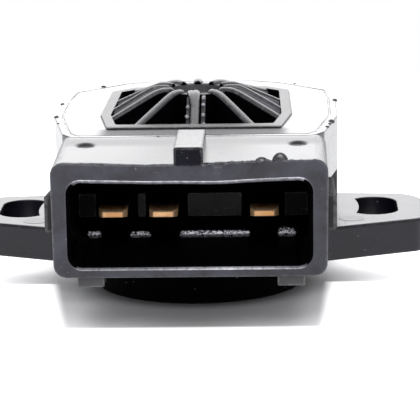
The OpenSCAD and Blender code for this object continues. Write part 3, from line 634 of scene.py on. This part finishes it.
def block(low, high, radius):
    """A box with rounded edges: a rounded outline in plan, carried up in rows that draw in
    along a quarter circle at the bottom and at the top."""
    (x0, y0, z0), (x1, y1, z1) = low, high
    turn = np.linspace(0, np.pi / 2, 5)
    draw = radius * np.concatenate([[1.4], 1 - np.sin(turn), [0, 0, 0], 1 - np.cos(turn), [1.4]])
    height = np.concatenate([[z0], z0 + radius * (1 - np.cos(turn)),
                             [z0 + radius * 1.4, (z0 + z1) / 2, z1 - radius * 1.4],
                             z1 - radius * (1 - np.sin(turn)), [z1]])
    plan = [soften([(x0 + d, y0 + d), (x1 - d, y0 + d), (x1 - d, y1 - d), (x0 + d, y1 - d)],
                   max(radius - d, 0.02), 4, True) for d in draw]
    level = np.broadcast_to(height[:, None, None], (len(draw), len(plan[0]), 1))
    return np.concatenate([np.stack(plan), level], -1)


def blocks(spans, y, z, radius):
    """Rounded boxes side by side: one for each span in X, all over the same span in Y and Z."""
    return np.stack([block((x0, y[0], z[0]), (x1, y[1], z[1]), radius) for x0, x1 in spans])


shelf_y, shelf_z = (-16.5, -14.2), (5.97, 8.37)
shelf = skin("socket_shelf", blocks(((-5.55, -4.75), (-0.55, 4.85)), shelf_y, shelf_z, 0.12))
shelf_ends = skin("socket_shelf_ends", blocks(((-11.5, -9.75), (9.15, 11.5)), shelf_y, shelf_z, 0.12))
dress(shelf, moulding("dark_shelf_plastic", 0.016, 0.5, 0.4, wear=0.2, scratches=0.4, sheen=0.15))
dress(shelf_ends, moulding("darker_shelf_plastic", 0.004, 0.5, 0.4, wear=0.2, scratches=0.4, sheen=0.08))

# The nose on which the plug latches is dull where its front was trimmed.
nose = block((-1.45, FRONT - 0.02, 13.0), (1.39, -17.0, 14.92), 0.22)
trimmed = (nose[0, :, 1] < FRONT + 0.3).astype(int)
dress(skin("latch_nose", nose, second=trimmed),
      moulding("black_nose_plastic", 0.004, 0.18, 0.2, wear=0.2, scratches=0.7, sheen=0.2),
      moulding("trimmed_nose_plastic", 0.004, 0.3, 0.4, wear=0.2, sheen=0.1, blue=1.9))

# The side rails' tops fall by 1.8 mm over their first 11 mm.
rails = blocks(((-14.2, -12.9), (12.9, 14.2)), (-24.9, -8.0), (6.2, 10.0), 0.35)
y, z = rails[..., 1], rails[..., 2]
rails[..., 2] = z - 1.8 * np.clip((y + 24.9) / 11, 0, 1) * np.clip((z - 7) / 3, 0, 1)
dress(skin("socket_side_rails", rails),
      moulding("matt_rail_plastic", 0.038, 0.6, 0.5, wear=0.3, sheen=0.02, drift=0.12))
feet = blocks(((-11.05, -8.4), (8.4, 11.05)), (-26.3, -15.0), (1.1, 2.6), 0.18)
dress(skin("socket_foot_rails", feet), moulding("foot_rail_plastic", 0.030, 0.25, 0.5, wear=0.3, sheen=0.45))

# Two lumps of flash: balls drawn out to their half widths in X, Y and Z.
lump_at = np.array([(7.0, -26.5, 13.28), (8.77, -26.45, 13.35)])[:, None, None]
lump_size = np.array([(0.72, 0.4, 0.62), (0.8, 0.4, 0.95)])[:, None, None]
dress(skin("flash_lumps", lump_at + ball * lump_size), black_case)


# Ears
# Two lugs of the case moulding with a slot each, so that the sensor can be turned about
# its collar before the screws are tightened. The slots' inner walls follow a circle about
# the rotor axis. A core pin left a round mark on each ear beside the case.

# The ears' thickness, and the slots: the inner wall's distance from the rotor axis, and the
# middle and the radius of their round outer corners.
EAR_T = 3.5
SLOT_INNER, SLOT_X, SLOT_Y, SLOT_R = 17, 18.55, 2.0, 2.48
ALL_ROUND = np.linspace(0, 2 * np.pi, 360, endpoint=False)


def ear(side):
    """Rows from the slot's foot up its wall, over the top, down the outer wall and back
    under. Each row lies round the slot's centre at the slot's or the lobe's distance. The
    right ear's front edge lies further forward than the left one's, and both ears lie a little
    below the seat face."""
    centre = np.array([18.75, 0.0])
    forward, lower = (0.5, 0.08) if side > 0 else (0.1, 0.03)
    a = np.linspace(-np.pi / 2, np.pi / 2, 60)
    outer_wall = np.stack([SLOT_X + SLOT_R * np.cos(a), np.sign(a) * SLOT_Y + SLOT_R * np.sin(a)], -1)
    a = np.linspace(np.pi / 2, np.pi, 40)
    far_end = np.stack([SLOT_X + SLOT_R * np.cos(a), SLOT_Y + SLOT_R * np.sin(a)], -1)
    far_end = far_end[np.hypot(*far_end.T) > SLOT_INNER]
    arc = np.arcsin(3.3 / SLOT_INNER) * np.linspace(1, -1, 60)
    inner_wall = SLOT_INNER * np.stack([np.cos(arc), np.sin(arc)], -1)
    slot_outline = np.concatenate([outer_wall, far_end, inner_wall, far_end[::-1] * [1, -1]])
    lobe = soften([(13.2, -10.5 - forward), (23.7, -5.95 - forward), (23.8, 6.45), (13.2, 7.25)],
                  [0.3, 2.0, 3.6, 0.3], 14, True)
    slot_line, lobe_line = reach(slot_outline, centre, ALL_ROUND), reach(lobe, centre, ALL_ROUND)
    wall = soften([(0, 0), (0, EAR_T), (2, EAR_T)], [0, 0.12, 0])[:-1]
    rim = soften([(2, EAR_T), (0, EAR_T), (0, 0), (2, 0)], [0, 0.3, 0.22, 0])[1:-1]
    reaches = np.stack([slot_line + 0.12, slot_line, slot_line] + [slot_line + d for d in wall[:, 0]]
                       + [slot_line * (1 - f) + lobe_line * f for f in (0.3, 0.6)]
                       + [lobe_line - d for d in rim[:, 0]])
    heights = np.concatenate([[0, 0.12, 0.16, 0.24], wall[1:, 1], [EAR_T, EAR_T], rim[:, 1]])
    points = np.stack([centre[0] + reaches * np.cos(ALL_ROUND), centre[1] + reaches * np.sin(ALL_ROUND),
                       np.broadcast_to(heights[:, None], reaches.shape)], -1)
    return points * [side, 1, 1] - [0, 0, lower]


ear_plastic = moulding("black_ear_plastic", 0.004, 0.26, 0.3, wear=0.08, scratches=0.4, sheen=0.36, blue=1.9)
pin_plastic = moulding("pin_mark_plastic", 0.006, 0.29, 0.3, wear=0.08, scratches=0.4, sheen=0.36, blue=1.6)
for side, name, x, top in ((-1, "left", -16.8, EAR_T - 0.03), (1, "right", 16.1, EAR_T - 0.08)):
    dress(skin("ear_" + name, ear(side), "join"), ear_plastic)
    rings = soften([(1.38, top - 0.1), (1.3, top + 0.02), (0.4, top + 0.012)], [0, 0.015, 0])
    turn = np.linspace(0, 2 * np.pi, 64, endpoint=False)
    r, h = rings[:, :1], rings[:, 1:] + 0 * turn
    mark = np.stack([x + r * np.cos(turn), r * np.sin(turn) - 6.4, h], -1)
    dress(skin("pin_mark_" + name, mark), pin_plastic)


# Pilot collar
# The spigot under the case that enters the throttle body. It is moulded with the case and
# has a small lead-in. Its bore holds the shaft seal, with the lower bearing above that.

COLLAR_R, COLLAR_FOOT = 11, -4.45
SEAL_R, SEAL_TOP, BEARING_R = 8.6, -1.4, 6.15
collar = spin(soften([(10.4, 0.4), (COLLAR_R, 0.2), (COLLAR_R, COLLAR_FOOT), (SEAL_R, COLLAR_FOOT),
                      (SEAL_R, SEAL_TOP), (BEARING_R, SEAL_TOP), (BEARING_R, 0.4)],
                     [0, 0.05, 0.22, 0.15, 0.1, 0, 0]))
# Painted shade: the collar's plastic is near black and hardly mirrors, darker than the case it is moulded
# with.
dress(skin("pilot_collar", collar, "join"),
      moulding("black_collar_plastic", 0.0010, 0.6, 0.1, wear=0.03, scratches=0.05, sheen=0.015))


# Terminals
# Three blades stamped from copper alloy, with coined tips. Behind the wall each narrows to
# a tail and turns up to the board. The metal is dull, with fine drawing lines along it.

# The blades' tips and the tails' turn in Y, and the middle heights of the blades and of the
# tails.
TIP, TURN, BLADE_Z, TAIL_Z = -20.8, -12.5, 7.11, 7.17


def blade(x):
    """Rows along the blade's middle line: straight back, a quarter turn of 1 mm radius, then
    up. Each row is a rounded rectangle, narrow and thin at the tip and narrow on the tail."""
    along = np.array([0, 0.04, 0.45, 0.95, 1.05, 4, 7.4, 7.55, 7.9, 8.0])
    centre = np.stack([TIP + along, np.full(len(along), BLADE_Z)], -1)
    direction = np.tile([1.0, 0.0], (len(along), 1))
    width = np.interp(along, [0, 0.04, 0.95, 1.05, 7.4, 7.9], [1.86, 2.0, 2.76, 2.8, 2.8, 1.2])
    thick = np.interp(along, [0, 0.04, 0.95, 1.05], [0.42, 0.56, 0.86, 0.88])
    a = np.linspace(0, np.pi / 2, 9)[1:]
    bend = np.stack([TURN + np.sin(a), TAIL_Z + 1 - np.cos(a)], -1)
    rise = np.array([[TURN + 1, 9.5], [TURN + 1, 10.98], [TURN + 1, 11.06]])
    centre = np.concatenate([centre, [[TURN, TAIL_Z]], bend, rise])
    turning = np.stack([np.cos(a), np.sin(a)], -1)
    direction = np.concatenate([direction, [[1, 0]], turning, np.tile([0, 1.0], (3, 1))])
    width = np.concatenate([width, np.full(10, 1.2), [1.2, 0.9]])
    thick = np.concatenate([thick, np.full(10, 0.8), [0.8, 0.5]])
    unit_ring = soften([(-1, -1), (1, -1), (1, 1), (-1, 1)], 0.12, 3, True) / 2
    normal = np.stack([-direction[:, 1], direction[:, 0]], -1)
    across = unit_ring[None, :, 0] * width[:, None]
    through = unit_ring[None, :, 1] * thick[:, None]
    return np.stack([x + across, centre[:, None, 0] + through * normal[:, None, 0],
                     centre[:, None, 1] + through * normal[:, None, 1]], -1)


# Pale on coined edges, and near black from about a millimetre behind the tip, a painted shade where the
# blades reach into the socket.
copper, s, surface = finish("copper_alloy", Metallic=0.55)
depth = s.node("ShaderNodeSeparateXYZ", {}, {"Vector": s.place()}, "Y").between(-0.0199, -0.0172)
streak = s.noise(s.place(stretch=(9000, 600, 9000)), 1.0, 4)
patch = s.noise(s.place(), 900, 3).between(0.35, 0.7)
edge = s.node("ShaderNodeAttribute", {"attribute_name": "edge"}, out="Fac").between(0.15, 0.8)
colour = patch.mixed((0.68, 0.35, 0.14), (0.92, 0.57, 0.29))
colour = (edge * 0.5).mixed(colour, (1.0, 0.80, 0.54))
# Painted shade: near black behind the tip.
colour = depth.mixed(colour, (0.02, 0.008, 0.003))
normal = s.node("ShaderNodeBump", {}, {"Strength": 0.3, "Distance": 0.00003, "Height": streak})
connect(s, surface, Base_Color=colour, Roughness=0.36 + streak * 0.2 + patch * 0.08, Normal=normal)
for number, x in enumerate((-7.85, -2.85, 7.15), 1):
    dress(skin(f"blade_{number}", blade(x), replaces=f"terminal_{number}"), copper)


# Works inside the case
# The board with its printed tracks, the rotor with its wiper, the seal and the small metal
# parts keep their solids. They get rounded edges and their own finishes.

def metal(name, dark, pale, rough, scale, stretch=(1, 1, 1)):
    """Metal whose colour and roughness follow one stretched noise."""
    material, s, surface = finish(name, Metallic=1.0)
    mottle = s.noise(s.place(stretch=stretch), scale, 4)
    normal = s.node("ShaderNodeBump", {}, {"Strength": 0.25, "Distance": 0.00003, "Height": mottle})
    colour = mottle.between(0.3, 0.7).mixed(dark, pale)
    connect(s, surface, Base_Color=colour, Roughness=rough + mottle * 0.2, Normal=normal)
    return material


def dull(name, dark, pale, rough, scale):
    """Plastic, rubber or print: colour, roughness and relief follow one noise."""
    material, s, surface = finish(name, IOR=1.5)
    mottle = s.noise(s.place(), scale, 4)
    normal = s.node("ShaderNodeBump", {}, {"Strength": 0.3, "Distance": 0.00004, "Height": mottle})
    colour = mottle.between(0.3, 0.7).mixed(dark, pale)
    connect(s, surface, Base_Color=colour, Roughness=rough + mottle * 0.12, Normal=normal)
    return material


natural = dull("natural_acetal", (0.62, 0.57, 0.45), (0.74, 0.69, 0.57), 0.38, 900)
spring = metal("spring_steel", (0.42, 0.42, 0.44), (0.62, 0.62, 0.64), 0.22, 1.0, (700, 9000, 9000))
gold = metal("wiper_alloy", (0.62, 0.48, 0.24), (0.83, 0.70, 0.42), 0.24, 1.0, (9000, 700, 9000))
silver = metal("silver_print", (0.50, 0.49, 0.45), (0.70, 0.69, 0.65), 0.42, 4200)
tin = metal("solder", (0.58, 0.59, 0.61), (0.78, 0.79, 0.81), 0.18, 1500)
works = {
    "rotor": natural, "wiper_carrier": natural, "wiper": gold, "wiper_rivets": gold, "drive_spring": spring,
    "thrust_washer": spring, "retaining_clip": spring, "contact_pads": silver, "collector_track": silver,
    "resistive_track": dull("carbon_print", (0.012, 0.012, 0.013), (0.035, 0.034, 0.034), 0.5, 5200),
    "track_board": dull("board_laminate", (0.30, 0.26, 0.13), (0.42, 0.37, 0.20), 0.42, 1600),
    "shaft_seal": dull("seal_rubber", (0.012, 0.012, 0.012), (0.03, 0.029, 0.028), 0.55, 2600),
    "solder_joint_1": tin, "solder_joint_2": tin, "solder_joint_3": tin}
for name, material in works.items():
    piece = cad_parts[name]
    piece.data.materials.clear()
    dress(piece, material)
    weld = piece.modifiers.new("weld", "WELD")
    weld.merge_threshold = 0.000002
    if name not in ("wiper", "contact_pads", "resistive_track", "collector_track"):
        bevel = piece.modifiers.new("edges", "BEVEL")
        bevel.width, bevel.segments, bevel.limit_method = 0.00008, 2, "ANGLE"
        bevel.angle_limit = math.radians(40)


# Floor, lamps and camera
# A white table top under the collar, a broad lamp low behind the sensor that the level
# faces mirror, a second one higher behind, one in front and a plain bright room.

TABLE_Z = -0.00446
corners = ((-1, -1.5), (1, -1.5), (1, 0.13), (-1, 0.13))
floor_mesh = bpy.data.meshes.new("table_top")
floor_mesh.from_pydata([(x, y, TABLE_Z) for x, y in corners], [], [(0, 1, 2, 3)])
floor = bpy.data.objects.new("table_top", floor_mesh)
bpy.context.scene.collection.objects.link(floor)
table_white, s, surface = finish("white_table", Roughness=0.8, Specular_IOR_Level=0.1, Emission_Strength=1.0)
dress(floor, table_white)

# What the camera sees of the table is painted light: white, less so in the shadow under the
# ears, which ends in straight lines, lighter in front on the left, and darker close round
# the collar. Distances are from the rotor axis.
across = s.node("ShaderNodeSeparateXYZ", {}, {"Vector": s.place()}, "X")
depth = s.node("ShaderNodeSeparateXYZ", {}, {"Vector": s.place()}, "Y")
behind = depth + 0.010
side = across.maths("ABSOLUTE", across + behind * 0.035 + 0.00055) - behind * 0.085
under_ear = depth.between(-0.0020, -0.0012)
beside = side.between(0.0135, 0.0215) * 0.55 + depth.between(0.003, 0.009) * 0.2
beside = beside + depth.between(0.010, 0.020) + 0.08
clear = side.between(0.0131, 0.0146) * (1 - under_ear * (1 - beside))
clear = clear.maths("MAXIMUM", clear, 1 - depth.between(-0.0212, -0.0200))
near = (across * across + depth * depth) ** 0.5
left = (-1 * across).between(0.008, 0.012) * (1 - depth.between(-0.012, -0.007))
level = near.between(0.0110, 0.0135) * 0.04 + left * 0.10 + clear * 0.86
seen = s.node("ShaderNodeLightPath", out="Is Camera Ray") * level
mirrored = s.node("ShaderNodeLightPath", out="Is Glossy Ray")
emission = mirrored.mixed(seen, (0.35, 0.35, 0.35))

# A painted shadow: the table's colour is greyer under the socket and round the collar.
painted_floor_shadow = (1 - depth.between(-0.0180, -0.0135)) * (1 - side.between(0.001, 0.010))
painted_floor_shadow = painted_floor_shadow * depth.between(-0.0212, -0.0200)
painted_floor_shadow = painted_floor_shadow.maths("MAXIMUM", painted_floor_shadow * 0.7, 1 - near.between(0.0112, 0.0145))
connect(s, surface, Emission_Color=emission, Base_Color=painted_floor_shadow.mixed((1.0, 1.0, 1.0), (0.5, 0.5, 0.5)))


def lamp(name, at, towards, width, height, power):
    """A rectangular lamp that faces a point."""
    light = bpy.data.lights.new(name, "AREA")
    light.shape, light.size, light.size_y, light.energy = "RECTANGLE", width, height, power
    piece = bpy.data.objects.new(name, light)
    bpy.context.scene.collection.objects.link(piece)
    piece.location = at
    piece.rotation_euler = (Vector(towards) - Vector(at)).to_track_quat("-Z", "Y").to_euler()


lamp("low_back_lamp", (0.05, 1.1, 0.42), (0, 0, 0.03), 2.0, 0.72, 12.9)
lamp("high_back_lamp", (0.03, 0.72, 0.90), (0, 0, 0), 1.3, 0.55, 7.2)
lamp("front_lamp", (0.05, -0.80, 0.67), (0, 0, 0), 0.6, 0.40, 6.2)

world = bpy.data.worlds.new("bright_room")
bpy.context.scene.world = world
world.use_nodes = True
s = Shade(world.node_tree)
seen = s.node("ShaderNodeLightPath", out="Is Camera Ray")
connect(s, world.node_tree.nodes["Background"], Color=seen.mixed((0.515, 0.515, 0.555), (1, 1, 1)))

# The camera that took the photo: its turns in radians, its place in metres, and its focal
# length and the picture's width in pixels.
PITCH, YAW, ROLL = 0.209, -0.030, -0.016
CAMERA_AT = (0.009594, -0.280627, 0.062643)
FOCAL, PICTURE = 2700, 420
ahead = np.array([np.sin(YAW) * np.cos(PITCH), np.cos(YAW) * np.cos(PITCH), -np.sin(PITCH)])
level = np.array([np.cos(YAW), -np.sin(YAW), 0])
upward = np.cross(level, ahead)
right = level * np.cos(ROLL) + upward * np.sin(ROLL)
upward = upward * np.cos(ROLL) - level * np.sin(ROLL)
camera_data = bpy.data.cameras.new("photo_camera")
camera_data.lens, camera_data.sensor_width = FOCAL * 36 / PICTURE, 36
camera_data.clip_start = 0.01
camera = bpy.data.objects.new("photo_camera", camera_data)
bpy.context.scene.collection.objects.link(camera)
turned = Matrix(np.stack([right, upward, -ahead], -1).tolist()).to_4x4()
camera.matrix_world = Matrix.Translation(CAMERA_AT) @ turned
bpy.context.scene.camera = camera
bpy.context.scene.view_settings.view_transform = "Standard"
